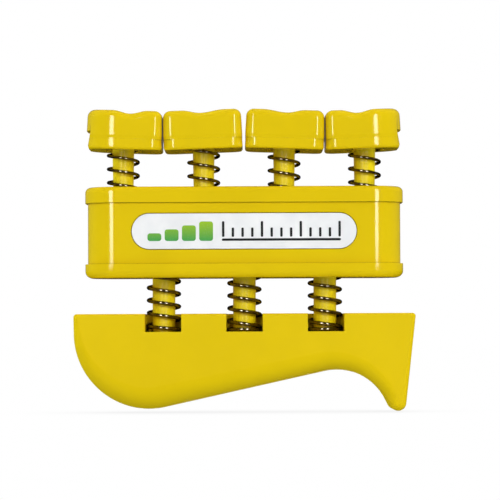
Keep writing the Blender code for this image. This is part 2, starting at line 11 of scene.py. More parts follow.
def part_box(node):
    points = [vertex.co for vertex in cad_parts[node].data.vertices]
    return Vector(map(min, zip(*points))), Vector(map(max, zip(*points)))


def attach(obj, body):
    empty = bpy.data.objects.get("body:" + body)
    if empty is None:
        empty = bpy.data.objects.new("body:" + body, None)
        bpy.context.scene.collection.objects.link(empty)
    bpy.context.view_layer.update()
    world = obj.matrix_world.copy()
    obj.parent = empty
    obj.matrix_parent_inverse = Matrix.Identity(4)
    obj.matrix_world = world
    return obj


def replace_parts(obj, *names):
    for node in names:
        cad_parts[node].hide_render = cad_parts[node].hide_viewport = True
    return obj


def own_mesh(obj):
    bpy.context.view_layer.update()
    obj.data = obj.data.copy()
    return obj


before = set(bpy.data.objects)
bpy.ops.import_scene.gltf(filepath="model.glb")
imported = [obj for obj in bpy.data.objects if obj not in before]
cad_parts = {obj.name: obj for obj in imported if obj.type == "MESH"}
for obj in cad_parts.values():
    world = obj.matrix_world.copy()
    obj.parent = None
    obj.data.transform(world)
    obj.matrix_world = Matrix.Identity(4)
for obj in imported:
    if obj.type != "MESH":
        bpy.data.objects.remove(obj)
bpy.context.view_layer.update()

# Shapes are worked out in millimetres in the row frame and scaled to metres by piece().
MILLI = 0.001
TO_METRES = Matrix.Diagonal((MILLI, MILLI, MILLI, 1.0))


def mm_box(node):
    low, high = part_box(node)
    return low / MILLI, high / MILLI


def centre_x(node):
    low, high = mm_box(node)
    return (low.x + high.x) / 2


# ---------------------------------------------------------------- shared places and sizes
FINGER_X = [centre_x(f"plunger_{n}") for n in (1, 2, 3, 4)]
POST_X = [centre_x(f"guide_post_{n}") for n in (1, 2, 3)]
GRIP_LOW, GRIP_HIGH = mm_box("palm_grip_front")
TOP_LOW, TOP_HIGH = mm_box("housing_top_cap")
BOTTOM_LOW, BOTTOM_HIGH = mm_box("housing_bottom_cap")
SLEEVE_LOW, SLEEVE_HIGH = mm_box("housing_sleeve")
BADGE_LOW, BADGE_HIGH = mm_box("badge")

HAIRLINE = 0.005  # keeps facing parts from touching
OVERCUT = 3  # how far a cutting tool reaches past the face it cuts

POCKET_WIDTH, POCKET_FLOOR = 10.8, 23.65
COLLAR_RADIUS, COLLAR_BOTTOM, COLLAR_TOP = 4.8, 16.2, 18.0
HOUSING_TOP, HOUSING_BOTTOM = TOP_HIGH.z, BOTTOM_LOW.z
FINGER_TUBE_END, POST_TUBE_END = TOP_LOW.z, BOTTOM_HIGH.z

# Round seats that hold the spring ends, and the play left under and over each spring.
SEAT_RADIUS, SEAT_GAP = 5.4, 0.05
FINGER_SEAT_DEPTH, POST_SEAT_DEPTH, HEAD_SEAT_DEPTH = 1.4, 1.9, 1.9

HEAD_BASE_Z = 77.85
HEAD_SHOULDER = HEAD_BASE_Z + HEAD_SEAT_DEPTH - SEAT_GAP
SPIGOT_RADIUS = 2.2


# ---------------------------------------------------------------- material nodes
class ShaderTree:
    """A fresh node tree of a material or a world, with short-hand for building it."""

    def __init__(self, owner, output):
        owner.use_nodes = True
        self.owner = owner
        self.tree = owner.node_tree
        self.tree.nodes.clear()
        self.output = self.add(output)

    def fill(self, node, inputs):
        """Links sockets and sets plain values; colours are given without alpha."""
        for key, value in inputs.items():
            socket = node.inputs[key]
            if isinstance(value, bpy.types.NodeSocket):
                self.tree.links.new(value, socket)
            elif socket.type == "RGBA":
                socket.default_value = (*value, 1.0)
            else:
                socket.default_value = value

    def add(self, kind, inputs=None, **props):
        node = self.tree.nodes.new(kind)
        for key, value in props.items():
            setattr(node, key, value)
        self.fill(node, inputs or {})
        return node

    def finish(self, surface):
        self.fill(self.output, {"Surface": surface})

    def times(self, value, factor):
        return self.add("ShaderNodeMath", {0: value, 1: factor}, operation="MULTIPLY").outputs[0]

    def plus(self, value, other):
        return self.add("ShaderNodeMath", {0: value, 1: other}, operation="ADD").outputs[0]

    def noise(self, vector, scale, detail=2.0, roughness=0.5):
        inputs = {"Vector": vector, "Scale": scale, "Detail": detail, "Roughness": roughness}
        return self.add("ShaderNodeTexNoise", inputs).outputs["Fac"]

    def ramp(self, value, low, high, to_low=0.0, to_high=1.0):
        inputs = {
            "Value": value, "From Min": low, "From Max": high, "To Min": to_low, "To Max": to_high,
        }
        node = self.add("ShaderNodeMapRange", inputs, interpolation_type="SMOOTHSTEP")
        return node.outputs["Result"]

    def patches(self, vector, scale, low, high, detail=2.0, roughness=0.5, to=(0.0, 1.0)):
        """Noise whose span from low to high is spread over the range `to`."""
        return self.ramp(self.noise(vector, scale, detail, roughness), low, high, *to)

    def mix(self, mask, base, over, amount=None):
        """Colour `over` laid on `base` by a mask, weakened by an amount."""
        if amount is not None:
            mask = self.times(mask, amount)
        inputs = {0: mask, 6: base, 7: over}
        return self.add("ShaderNodeMix", inputs, data_type="RGBA", blend_type="MIX").outputs[2]

    def mapped(self, vector, scale, rotation=(0.0, 0.0, 0.0)):
        inputs = {"Vector": vector, "Scale": scale, "Rotation": rotation}
        return self.add("ShaderNodeMapping", inputs).outputs["Vector"]

    def occlusion(self, distance, samples):
        inputs = {"Distance": distance}
        return self.add("ShaderNodeAmbientOcclusion", inputs, samples=samples).outputs["AO"]

    def bump(self, height, strength, distance, **normal):
        """Bump of a height; another bump can be given as Normal to lie beneath it."""
        inputs = {"Height": height, "Strength": strength, "Distance": distance, **normal}
        return self.add("ShaderNodeBump", inputs).outputs["Normal"]


def principled(name):
    """(tree, Principled shader, object coordinates) of a new material."""
    tree = ShaderTree(bpy.data.materials.new(name), "ShaderNodeOutputMaterial")
    shader = tree.add("ShaderNodeBsdfPrincipled")
    tree.finish(shader.outputs[0])
    return tree, shader, tree.add("ShaderNodeTexCoord").outputs["Object"]


def tint(colour, factor, lift=0.0):
    return tuple(min(1.0, channel * factor + lift) for channel in colour)


def moulded_plastic(name, colour, roughness, grain, gloss):
    """Injection-moulded plastic with tone drift, flow marks, mould grain, rubbed edges, scuffs."""
    tree, shader, place = principled(name)
    drift = tree.patches(place, scale=45.0, detail=3.0, low=0.35, high=0.65)
    tone = tree.mix(drift, tint(colour, factor=0.975), tint(colour, factor=1.02))
    flow = tree.mapped(place, scale=(1.0, 1.0, 3.0))
    streaks = tree.patches(flow, scale=160.0, detail=4.0, roughness=0.6, low=0.40, high=0.75)
    tone = tree.mix(streaks, tone, tint(colour, factor=0.88), amount=0.06)
    # rubbed edges: close to an edge the rounded normal leaves the true one
    rounded = tree.add("ShaderNodeBevel", {"Radius": 0.0003}, samples=4).outputs["Normal"]
    true = tree.add("ShaderNodeNewGeometry").outputs["Normal"]
    agree = tree.add("ShaderNodeVectorMath", {0: rounded, 1: true}, operation="DOT_PRODUCT")
    edge = tree.ramp(agree.outputs["Value"], low=0.94, high=0.80)
    rub = tree.patches(place, scale=300.0, detail=4.0, roughness=0.6, low=0.45, high=0.62)
    worn = tree.times(edge, rub)
    tone = tree.mix(worn, tone, tint(colour, factor=1.04, lift=0.015), amount=0.30)
    # hairline scuffs, only in patches
    stretched = tree.mapped(place, scale=(1.0, 1.0, 16.0), rotation=(0.2, 0.5, 0.1))
    scuff = tree.patches(stretched, scale=300.0, low=0.66, high=0.72)
    handled = tree.patches(place, scale=38.0, low=0.50, high=0.62)
    scuff = tree.times(scuff, handled)
    # shade that gathers in narrow gaps
    crevice = tree.ramp(tree.occlusion(distance=0.0006, samples=6), low=0.25, high=0.80)
    tone = tree.mix(crevice, tint(colour, factor=0.45), tone)
    rough = tree.patches(
        place, scale=420.0, detail=3.0, low=0.3, high=0.7, to=(roughness * 0.90, roughness * 1.10)
    )
    rough = tree.plus(rough, tree.times(worn, factor=0.12))
    rough = tree.plus(rough, tree.times(scuff, factor=0.04))
    sink = tree.noise(place, scale=60.0, detail=1.0)
    wave = tree.bump(sink, strength=0.4, distance=0.00004)
    fine = tree.noise(place, scale=4200.0)
    normal = tree.bump(fine, strength=0.3, distance=0.0000035 * grain, Normal=wave)
    tree.fill(shader, {
        "Base Color": tone, "Roughness": rough, "Normal": normal, "IOR": 1.5,
        "Specular IOR Level": gloss,
    })
    return tree.owner


def sliding_plastic(name, colour):
    """Dulled, dimpled plastic of the stems, with faint upright rub marks from the bores."""
    tree, shader, place = principled(name)
    drift = tree.patches(place, scale=220.0, detail=3.0, low=0.35, high=0.65)
    tone = tree.mix(drift, tint(colour, factor=0.96), tint(colour, factor=1.02))
    drawn = tree.mapped(place, scale=(1.0, 1.0, 0.06))
    rubs = tree.patches(drawn, scale=2600.0, detail=3.0, roughness=0.6, low=0.42, high=0.70)
    tone = tree.mix(rubs, tone, tint(colour, factor=0.85), amount=0.06)
    rough = tree.ramp(rubs, low=0.0, high=1.0, to_low=0.33, to_high=0.39)
    dimples = tree.bump(tree.noise(place, scale=1500.0), strength=0.6, distance=0.00005)
    normal = tree.bump(rubs, strength=0.25, distance=0.00001, Normal=dimples)
    tree.fill(shader, {
        "Base Color": tone, "Roughness": rough, "Normal": normal, "IOR": 1.5,
        "Specular IOR Level": 0.22,
    })
    return tree.owner


def spring_wire(name):
    """Black-oiled spring wire: a dark mirror-like skin with draw marks and brown oxide."""
    tree, shader, place = principled(name)
    drawn = tree.mapped(place, scale=(1.0, 1.0, 6.0))
    oxide = tree.patches(place, scale=700.0, detail=4.0, roughness=0.6, low=0.38, high=0.66)
    tone = tree.mix(oxide, (0.190, 0.165, 0.115), (0.290, 0.255, 0.185))
    spots = tree.patches(place, scale=2600.0, low=0.60, high=0.72)
    tone = tree.mix(spots, tone, (0.070, 0.045, 0.025), amount=0.5)
    rough = tree.patches(drawn, scale=1500.0, detail=3.0, low=0.3, high=0.7, to=(0.06, 0.13))
    normal = tree.bump(tree.noise(drawn, scale=5000.0), strength=0.3, distance=0.000003)
    tree.fill(shader, {
        "Base Color": tone, "Roughness": rough, "Normal": normal, "Metallic": 1.0,
        "Specular Tint": (0.10, 0.09, 0.07),
    })
    return tree.owner


def stamped_steel(name):
    """Phosphated spring steel strip: matt grey, blotchy, with rolling lines."""
    tree, shader, place = principled(name)
    blotch = tree.patches(place, scale=900.0, detail=4.0, roughness=0.6, low=0.35, high=0.65)
    tone = tree.mix(blotch, (0.20, 0.20, 0.21), (0.36, 0.36, 0.37))
    rolled = tree.mapped(place, scale=(1.0, 14.0, 1.0))
    rough = tree.patches(rolled, scale=500.0, detail=3.0, low=0.3, high=0.7, to=(0.32, 0.48))
    normal = tree.bump(tree.noise(rolled, scale=1600.0), strength=0.4, distance=0.00001)
    tree.fill(shader, {
        "Base Color": tone, "Roughness": rough, "Normal": normal, "Metallic": 1.0,
    })
    return tree.owner


def satin_plate(name):
    """White satin plastic plate."""
    tree, shader, place = principled(name)
    drift = tree.patches(place, scale=120.0, detail=3.0, low=0.35, high=0.65)
    tone = tree.mix(drift, (0.83, 0.835, 0.86), (0.90, 0.90, 0.915))
    rough = tree.patches(place, scale=800.0, detail=3.0, low=0.3, high=0.7, to=(0.28, 0.36))
    normal = tree.bump(tree.noise(place, scale=4200.0), strength=0.3, distance=0.000005)
    tree.fill(shader, {"Base Color": tone, "Roughness": rough, "Normal": normal})
    return tree.owner


def ink(name, low_colour, high_colour, margin=0.0):
    """Printed ink fading with height over the badge less a margin, and thin in places."""
    tree, shader, place = principled(name)
    fade = tree.add("ShaderNodeMapRange", {
        "Value": tree.add("ShaderNodeSeparateXYZ", {"Vector": place}).outputs["Z"],
        "From Min": (BADGE_LOW.z + margin) * MILLI,
        "From Max": (BADGE_HIGH.z - margin) * MILLI,
    })
    tone = tree.mix(fade.outputs["Result"], low_colour, high_colour)
    thin = tree.patches(place, scale=3000.0, detail=3.0, low=0.55, high=0.75)
    tone = tree.mix(thin, tone, (0.8, 0.8, 0.8), amount=0.08)
    rough = tree.patches(place, scale=1200.0, low=0.3, high=0.7, to=(0.34, 0.44))
    tree.fill(shader, {"Base Color": tone, "Roughness": rough, "Specular IOR Level": 0.12})
    return tree.owner


MOULDING = (0.79, 0.565, 0.004)
YELLOW = moulded_plastic("yellow_plastic", MOULDING, roughness=0.09, grain=1.0, gloss=0.5)
YELLOW_GRIP = moulded_plastic("yellow_grip", MOULDING, roughness=0.33, grain=1.4, gloss=0.05)
# painted light: the stems are the same plastic as the moulding, but their yellow is made lighter to
# stand in for the light they catch
STEM_PAINTED_LIGHTER = sliding_plastic("yellow_stem", (0.96, 0.76, 0.006))
WIRE = spring_wire("spring_wire")
CLIP = stamped_steel("clip_steel")
WHITE = satin_plate("badge_white")
GREEN = ink("ink_green", (0.050, 0.34, 0.070), (0.33, 0.55, 0.020), margin=2.3)
BLACK = ink("ink_black", (0.010, 0.010, 0.011), (0.016, 0.016, 0.017))


# ---------------------------------------------------------------- mesh helpers (millimetres)
def arc(centre, radius, start, end, steps):
    """Points of an arc between two angles in degrees."""
    angles = [math.radians(start + (end - start) * k / steps) for k in range(steps + 1)]
    return [
        (centre[0] + radius * math.cos(angle), centre[1] + radius * math.sin(angle))
        for angle in angles
    ]


def plan(x_low, x_high, half_y, radius_low, radius_high, inset, corner, along=0, across=0):
    """Rounded rectangle in plan, anticlockwise, with its own corner radius at each X end.

    Each corner has `corner` steps; `along` and `across` are extra points on the sides that
    run in X and in Y.
    """
    x_low, x_high, half_y = x_low + inset, x_high - inset, half_y - inset
    low = min(max(radius_low - inset, 0.25), half_y - 0.01)
    high = min(max(radius_high - inset, 0.25), half_y - 0.01)
    corners = (
        ((x_high - high, half_y - high), high),
        ((x_low + low, half_y - low), low),
        ((x_low + low, -half_y + low), low),
        ((x_high - high, -half_y + high), high),
    )
    runs = [
        arc(centre, radius, 90 * k, 90 * k + 90, corner)
        for k, (centre, radius) in enumerate(corners)
    ]
    points = []
    for k, run in enumerate(runs):
        points += run
        end, begin = run[-1], runs[(k + 1) % 4][0]
        extra = along if k % 2 == 0 else across
        for step in range(1, extra + 1):
            share = step / (extra + 1)
            points.append(tuple(a + (b - a) * share for a, b in zip(end, begin)))
    return points


def level(points, z):
    return [(x, y, z) for x, y in points]


def fillet(radius, steps):
    """(inset, drop) pairs of a quarter round, from the wall to the flat."""
    angles = [math.radians(90 * k / steps) for k in range(steps + 1)]
    return [(radius * (1 - math.cos(a)), radius * (1 - math.sin(a))) for a in angles]


def mesh_from(work):
    bmesh.ops.recalc_face_normals(work, faces=work.faces[:])
    mesh = bpy.data.meshes.new("shape")
    work.to_mesh(mesh)
    work.free()
    return mesh


def loft(loops, tip=None):
    """Skins loops with equal numbers of points and closes both ends, the last on a tip if given."""
    work = bmesh.new()
    rings = [[work.verts.new(point) for point in loop] for loop in loops]
    count = len(rings[0])
    for low, high in zip(rings, rings[1:]):
        for i in range(count):
            j = (i + 1) % count
            work.faces.new((low[i], low[j], high[j], high[i]))
    work.faces.new(rings[0][::-1])
    last = rings[-1]
    if tip is None:
        work.faces.new(last)
    else:
        apex = work.verts.new(tip)
        for i in range(count):
            work.faces.new((last[i], last[(i + 1) % count], apex))
    return mesh_from(work)


def swept(outlines, move):
    """Flat outlines of 3D points, each swept by a vector into a solid."""
    work = bmesh.new()
    for outline in outlines:
        face = work.faces.new([work.verts.new(point) for point in outline])
        made = bmesh.ops.extrude_face_region(work, geom=[face])["geom"]
        far = [item for item in made if isinstance(item, bmesh.types.BMVert)]
        bmesh.ops.translate(work, verts=far, vec=move)
    return mesh_from(work)


def prism(outlines, low, high):
    """Flat outlines [(x, z)] swept along Y from low to high."""
    return swept([[(x, low, z) for x, z in outline] for outline in outlines], (0, high - low, 0))


def upright(outline, low, high):
    """A flat outline [(x, y)] swept up from low to high."""
    return swept([level(outline, low)], (0, 0, high - low))


def turned(profile, x):
    """A profile [(radius, z)] from its top axis point to its bottom one, turned about x."""
    sides = 72
    work = bmesh.new()
    top = work.verts.new((x, 0, profile[0][1]))
    bottom = work.verts.new((x, 0, profile[-1][1]))
    turns = [2 * math.pi * k / sides for k in range(sides)]
    rings = [
        [work.verts.new((x + radius * math.cos(a), radius * math.sin(a), z)) for a in turns]
        for radius, z in profile[1:-1]
    ]
    for k in range(sides):
        j = (k + 1) % sides
        work.faces.new((top, rings[0][k], rings[0][j]))
        work.faces.new((bottom, rings[-1][j], rings[-1][k]))
        for high, low in zip(rings, rings[1:]):
            work.faces.new((high[k], low[k], low[j], high[j]))
    return mesh_from(work)


def cylinder(radius, end_a, end_b, x, sides=64):
    """Upright cylinder at x between two heights, given in either order."""
    outline = arc((x, 0.0), radius, 0, 360 - 360 / sides, sides - 1)
    return upright(outline, min(end_a, end_b), max(end_a, end_b))


def carve(mesh, tools, operation="DIFFERENCE"):
    """The mesh with each tool mesh taken away from it, or joined to it, by an exact Boolean."""
    body = bpy.data.objects.new("carve_body", mesh)
    bpy.context.scene.collection.objects.link(body)
    helpers = []
    for tool in tools:
        helper = bpy.data.objects.new("carve_tool", tool)
        bpy.context.scene.collection.objects.link(helper)
        helpers.append(helper)
        step = body.modifiers.new("carve", "BOOLEAN")
        step.operation = operation
        step.solver = "EXACT"
        step.object = helper
    bpy.context.view_layer.update()
    depsgraph = bpy.context.evaluated_depsgraph_get()
    evaluated = body.evaluated_get(depsgraph)
    result = bpy.data.meshes.new_from_object(evaluated, depsgraph=depsgraph)
    for used in (body, *helpers):
        data = used.data
        bpy.data.objects.remove(used)
        bpy.data.meshes.remove(data)
    return result


def soften(mesh, width, where=lambda point: True, angle=40.0, segments=3):
    """Rounds the sharp convex edges whose middle passes the test."""
    merge = 0.0005
    work = bmesh.new()
    work.from_mesh(mesh)
    bmesh.ops.remove_doubles(work, verts=work.verts[:], dist=merge)
    bmesh.ops.dissolve_degenerate(work, edges=work.edges[:], dist=merge)
    work.normal_update()
    edges = [
        edge for edge in work.edges
        if len(edge.link_faces) == 2
        and edge.calc_face_angle() >= math.radians(angle)
        and edge.is_convex
        and where((edge.verts[0].co + edge.verts[1].co) / 2)
    ]
    if edges:
        bmesh.ops.bevel(
            work, geom=edges, offset=width, offset_type="OFFSET", segments=segments, profile=0.5,
            affect="EDGES", clamp_overlap=True,
        )
    work.to_mesh(mesh)
    work.free()
    return mesh


def moved(mesh, matrix):
    """The mesh moved by a matrix, its faces kept outward if the matrix mirrors."""
    mesh.transform(matrix)
    if matrix.to_3x3().determinant() < 0:
        mesh.flip_normals()
    return mesh


def piece(name, mesh, look, body):
    """Puts a finished millimetre mesh in the row frame."""
    mesh.transform(TO_METRES)
    mesh.materials.clear()
    mesh.materials.append(look)
    mesh.name = name
    mesh.shade_smooth()
    mesh.set_sharp_from_angle(angle=math.radians(32.0))
    made = bpy.data.objects.new(name, mesh)
    bpy.context.scene.collection.objects.link(made)
    weigh = made.modifiers.new("weighted_normals", "WEIGHTED_NORMAL")
    weigh.keep_sharp = True
    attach(made, body)
    return made


def stand_in(node, mesh, look, body):
    """A piece that stands for its CAD node."""
    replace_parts(piece(f"{node}_fine", mesh, look, body), node)


# ---------------------------------------------------------------- palm grip
DEPTH = -2 * GRIP_LOW.y
GRIP_TOP = GRIP_HIGH.z
GRIP_HALF_LENGTH = GRIP_HIGH.x
GRIP_CORNER = 1.0
CORNER_X, CORNER_Z = GRIP_HALF_LENGTH - GRIP_CORNER, GRIP_TOP - GRIP_CORNER
# Circles of the side view, centres as (x, z).
BULB_RADIUS, BULB_CENTRE = 22.2, (-28.4, 23.0)
ARCH_RADIUS, ARCH_CENTRE = 16.8, (27.35, -4.57)
TIP_RADIUS, TIP_CENTRE = 2.41, (45.35, 2.45)
OUTLINE_STEP = 1.1  # longest spacing of outline points, roughly
EDGE_SPREAD = 3.0  # reach along the outline over which the edge round is averaged
EDGE_DEPTH = 1.2  # reach of the edge round in Y, for each unit in the side view
JOINT_ROUND = 0.16
SOCKET_BOTTOM, SOCKET_RADIUS = 15.3, 3.6
COLLAR_PLAY = 0.2


def cross_tangent(centre_a, radius_a, centre_b, radius_b, turn):
    """Angle in degrees of a line that touches two circles and crosses between them."""
    run, rise = centre_b[0] - centre_a[0], centre_b[1] - centre_a[1]
    lean = math.degrees(math.asin((radius_a + radius_b) / math.hypot(run, rise)))
    return math.degrees(math.atan2(rise, run)) + turn * lean


BELLY = cross_tangent(BULB_CENTRE, BULB_RADIUS, ARCH_CENTRE, ARCH_RADIUS, 1)
THROAT = cross_tangent(ARCH_CENTRE, ARCH_RADIUS, TIP_CENTRE, TIP_RADIUS, -1)
BACK_RUN, BACK_RISE = GRIP_HALF_LENGTH - TIP_CENTRE[0], CORNER_Z - TIP_CENTRE[1]
BACK = math.degrees(math.atan2(BACK_RISE, BACK_RUN)) - math.degrees(
    math.acos(TIP_RADIUS / math.hypot(BACK_RUN, BACK_RISE))
)


def grip_profile():
    """[(x, z, edge round)] anticlockwise seen from the front, sparse only on the flat top."""
    # (points, edge round at the first, edge round at the last)
    runs = [
        (arc((-CORNER_X, CORNER_Z), GRIP_CORNER, 90, 180, 8), 0.8, 1.2),
        (arc(BULB_CENTRE, BULB_RADIUS, 180, 225, 24), 2.6, 6.2),
        (arc(BULB_CENTRE, BULB_RADIUS, 225, 270 + BELLY, 30)[1:], 6.4, 7.0),
        (arc(ARCH_CENTRE, ARCH_RADIUS, 90 + BELLY, 90 + THROAT, 34), 6.2, 3.4),
        (arc(TIP_CENTRE, TIP_RADIUS, 270 + THROAT, 360 + BACK, 18), 2.2, 1.6),
        (arc((CORNER_X, CORNER_Z), GRIP_CORNER, 0, 90, 8), 0.9, 0.6),
    ]
    points = []
    for run, first, last in runs:
        for k, (x, z) in enumerate(run):
            points.append((x, z, first + (last - first) * k / (len(run) - 1)))
    split = []
    for start, end in zip(points, points[1:]):
        parts = max(1, round(math.hypot(end[0] - start[0], end[1] - start[1]) / OUTLINE_STEP))
        split.append(start)
        for k in range(1, parts):
            split.append(tuple(a + (b - a) * (k / parts) for a, b in zip(start, end)))
    split.append(points[-1])
    # even out how the edge round grows along the outline
    reach = [0.0]
    for start, end in zip(split, split[1:]):
        reach.append(reach[-1] + math.hypot(end[0] - start[0], end[1] - start[1]))
    final = len(split) - 1
    shares = [(reach[min(j + 1, final)] - reach[max(j - 1, 0)]) / 2 for j in range(final + 1)]
    tip_limit = TIP_RADIUS * 0.93
    outline = []
    for i, (x, z, _) in enumerate(split):
        spread = min(EDGE_SPREAD, 0.05 + min(reach[i], reach[-1] - reach[i]) / 2)
        total = weight = 0.0
        for j, (_, _, other) in enumerate(split):
            near = math.exp(-(((reach[j] - reach[i]) / spread) ** 2) / 2) * shares[j]
            total += near * other
            weight += near
        edge = total / weight
        if math.hypot(x - TIP_CENTRE[0], z - TIP_CENTRE[1]) < TIP_RADIUS + 0.02:
            edge = min(edge, tip_limit)
        outline.append((x, z, edge))
    return outline


def grip_loop(outline, roll, inset=0.0):
    """The outline drawn in by a share of its edge round, and by an inset."""
    loop = []
    for i, (x, z, edge) in enumerate(outline):
        last_x, last_z, _ = outline[i - 1]
        next_x, next_z, _ = outline[(i + 1) % len(outline)]
        before = Vector((x - last_x, z - last_z)).normalized()
        after = Vector((next_x - x, next_z - z)).normalized()
        tangent = (before + after).normalized()
        depth = roll * edge + inset
        loop.append((x - tangent.y * depth, z + tangent.x * depth))
    return loop


def underside(x):
    """Height of the underside at x: bulb, straight belly, then arch."""
    slope = math.radians(BELLY)
    leave = BULB_CENTRE[0] + BULB_RADIUS * math.sin(slope)
    meet = ARCH_CENTRE[0] - ARCH_RADIUS * math.sin(slope)
    if x < leave:
        return BULB_CENTRE[1] - math.sqrt(BULB_RADIUS**2 - (x - BULB_CENTRE[0]) ** 2)
    if x < meet:
        return BULB_CENTRE[1] - BULB_RADIUS * math.cos(slope) + (x - leave) * math.tan(slope)
    return ARCH_CENTRE[1] + math.sqrt(ARCH_RADIUS**2 - (x - ARCH_CENTRE[0]) ** 2)


# Hollows between the post pockets, as (low x, high x), and the walls left round them.
PITCH = POST_X[2] - POST_X[1]
BESIDE = POCKET_WIDTH / 2 + 2.3
CHAMBERS = (
    (-46.5, -BESIDE - PITCH), (-PITCH + BESIDE, -BESIDE),
    (BESIDE, PITCH - BESIDE), (PITCH + BESIDE, 38.0),
)
CHAMBER_FLOOR, CHAMBER_ROOF, CHAMBER_SIDE = 4.0, 2.6, 3.0


def chamber(x_low, x_high):
    steps = 16
    along = [x_low + (x_high - x_low) * step / steps for step in range(steps + 1)]
    roof = GRIP_TOP - CHAMBER_ROOF
    outline = [(x, underside(x) + CHAMBER_FLOOR) for x in along] + [(x_high, roof), (x_low, roof)]
    return prism([outline], -DEPTH / 2 + CHAMBER_SIDE, DEPTH / 2 - CHAMBER_SIDE)


def pocket_tools(x, side):
    """Cutters for one post: a pocket (open slot in front, round behind), socket and collar."""
    half, top = POCKET_WIDTH / 2, GRIP_TOP + 5
    if side < 0:
        slot = [(x - half, -DEPTH), (x + half, -DEPTH), (x + half, 0.5), (x - half, 0.5)]
        pocket = upright(slot, POCKET_FLOOR, top)
    else:
        pocket = cylinder(half, POCKET_FLOOR, top, x, 96)
    return [
        pocket,
        cylinder(SOCKET_RADIUS, SOCKET_BOTTOM, POCKET_FLOOR + 4, x),
        cylinder(
            COLLAR_RADIUS + COLLAR_PLAY, COLLAR_BOTTOM - COLLAR_PLAY, COLLAR_TOP + COLLAR_PLAY, x
        ),
    ]


def on_pocket(point):
    """Whether a point is in a pocket and off the joint between the halves."""
    inside = any(abs(point.x - x) < POCKET_WIDTH / 2 + 0.05 for x in POST_X)
    return inside and point.z > POCKET_FLOOR - 0.05 and abs(point.y) > HAIRLINE + 0.06


def grip_half(side):
    """Half of the grip: side -1 is the front, 1 the rear."""
    outline = grip_profile()
    loops = []
    steps = 12
    for k in range(steps + 1):
        angle = math.radians(90 * k / steps)
        flat = grip_loop(outline, 1 - math.sin(angle))
        loops.append([
            (x, side * (DEPTH / 2 - EDGE_DEPTH * edge * (1 - math.cos(angle))), z)
            for (x, z), (_, _, edge) in zip(flat, outline)
        ])
    for inset, drop in fillet(JOINT_ROUND, 3):
        rim = grip_loop(outline, 0.0, inset)
        loops.append([(x, side * (HAIRLINE + drop), z) for x, z in rim])
    mesh = loft(loops)
    tools = [chamber(*span) for span in CHAMBERS]
    for x in POST_X:
        tools += pocket_tools(x, side)
    return soften(carve(mesh, tools), 0.35, where=on_pocket, angle=50, segments=4)


stand_in("palm_grip_front", grip_half(-1), YELLOW_GRIP, "grip")
stand_in("palm_grip_rear", grip_half(1), YELLOW_GRIP, "grip")


# ---------------------------------------------------------------- posts and plungers
POST_RADIUS, POST_TOP, POST_FOOT, POST_CHAMFER = 3.4, 51.8, 15.5, 0.5
PLUNGER_RADIUS_TOP, PLUNGER_RADIUS, PLUNGER_END, PLUNGER_CHAMFER = 3.3, 3.05, 54.7, 0.4
TAPER_END = HOUSING_TOP - 0.5
SPIGOT_TOP, SPIGOT_CHAMFER = HEAD_BASE_Z + 5.0, 0.3
# Clip grooves: play round the clip, groove width, lower faces and bottom radii.
CLIP_GAP = 0.1
GROOVE_WIDTH = 1.0
POST_GROOVE, POST_GROOVE_RADIUS = POST_TUBE_END + CLIP_GAP, 2.3
PLUNGER_GROOVE, PLUNGER_GROOVE_RADIUS = FINGER_TUBE_END - CLIP_GAP - GROOVE_WIDTH, 2.1


def eased(profile, radius):
    """The profile with each outward corner between a flat and a wall rounded a little."""
    steps = 4
    out = [profile[0]]
    for last, here, following in zip(profile, profile[1:], profile[2:]):
        corner = Vector(here)
        before, after = Vector(last) - corner, Vector(following) - corner
        cut = min(radius, before.length * 0.45, after.length * 0.45)
        outward = before.x * after.y - before.y * after.x > 0
        if outward and before.angle(after) < math.radians(150):
            start = corner + before.normalized() * cut
            end = corner + after.normalized() * cut
            for k in range(steps + 1):
                t = k / steps
                point = start * (1 - t) ** 2 + corner * 2 * t * (1 - t) + end * t**2
                out.append((point.x, point.y))
        else:
            out.append(here)
    out.append(profile[-1])
    return out


# (radius, z) from the top down
POST_PROFILE = [
    (0, POST_TOP),
    (POST_RADIUS - POST_CHAMFER, POST_TOP),
    (POST_RADIUS, POST_TOP - POST_CHAMFER),
    (POST_RADIUS, POST_GROOVE + GROOVE_WIDTH),
    (POST_GROOVE_RADIUS, POST_GROOVE + GROOVE_WIDTH),
    (POST_GROOVE_RADIUS, POST_GROOVE),
    (POST_RADIUS, POST_GROOVE),
    (POST_RADIUS, COLLAR_TOP),
    (COLLAR_RADIUS, COLLAR_TOP),
    (COLLAR_RADIUS, COLLAR_BOTTOM),
    (POST_RADIUS, COLLAR_BOTTOM),
    (POST_RADIUS, POST_FOOT),
    (0, POST_FOOT),
]
PLUNGER_PROFILE = [
    (0, SPIGOT_TOP),
    (SPIGOT_RADIUS - SPIGOT_CHAMFER, SPIGOT_TOP),
    (SPIGOT_RADIUS, SPIGOT_TOP - SPIGOT_CHAMFER),
    (SPIGOT_RADIUS, HEAD_SHOULDER),
    (PLUNGER_RADIUS_TOP, HEAD_SHOULDER),
    (PLUNGER_RADIUS, TAPER_END),
    (PLUNGER_RADIUS, PLUNGER_GROOVE + GROOVE_WIDTH),
    (PLUNGER_GROOVE_RADIUS, PLUNGER_GROOVE + GROOVE_WIDTH),
    (PLUNGER_GROOVE_RADIUS, PLUNGER_GROOVE),
    (PLUNGER_RADIUS, PLUNGER_GROOVE),
    (PLUNGER_RADIUS, PLUNGER_END + PLUNGER_CHAMFER),
    (PLUNGER_RADIUS - PLUNGER_CHAMFER, PLUNGER_END),
    (0, PLUNGER_END),
]

for n, x in enumerate(POST_X, 1):
    post = turned(eased(POST_PROFILE, 0.2), x)
    stand_in(f"guide_post_{n}", post, STEM_PAINTED_LIGHTER, "grip")
for n, x in enumerate(FINGER_X, 1):
    plunger = turned(eased(PLUNGER_PROFILE, 0.15), x)
    stand_in(f"plunger_{n}", plunger, STEM_PAINTED_LIGHTER, f"finger_{n}")


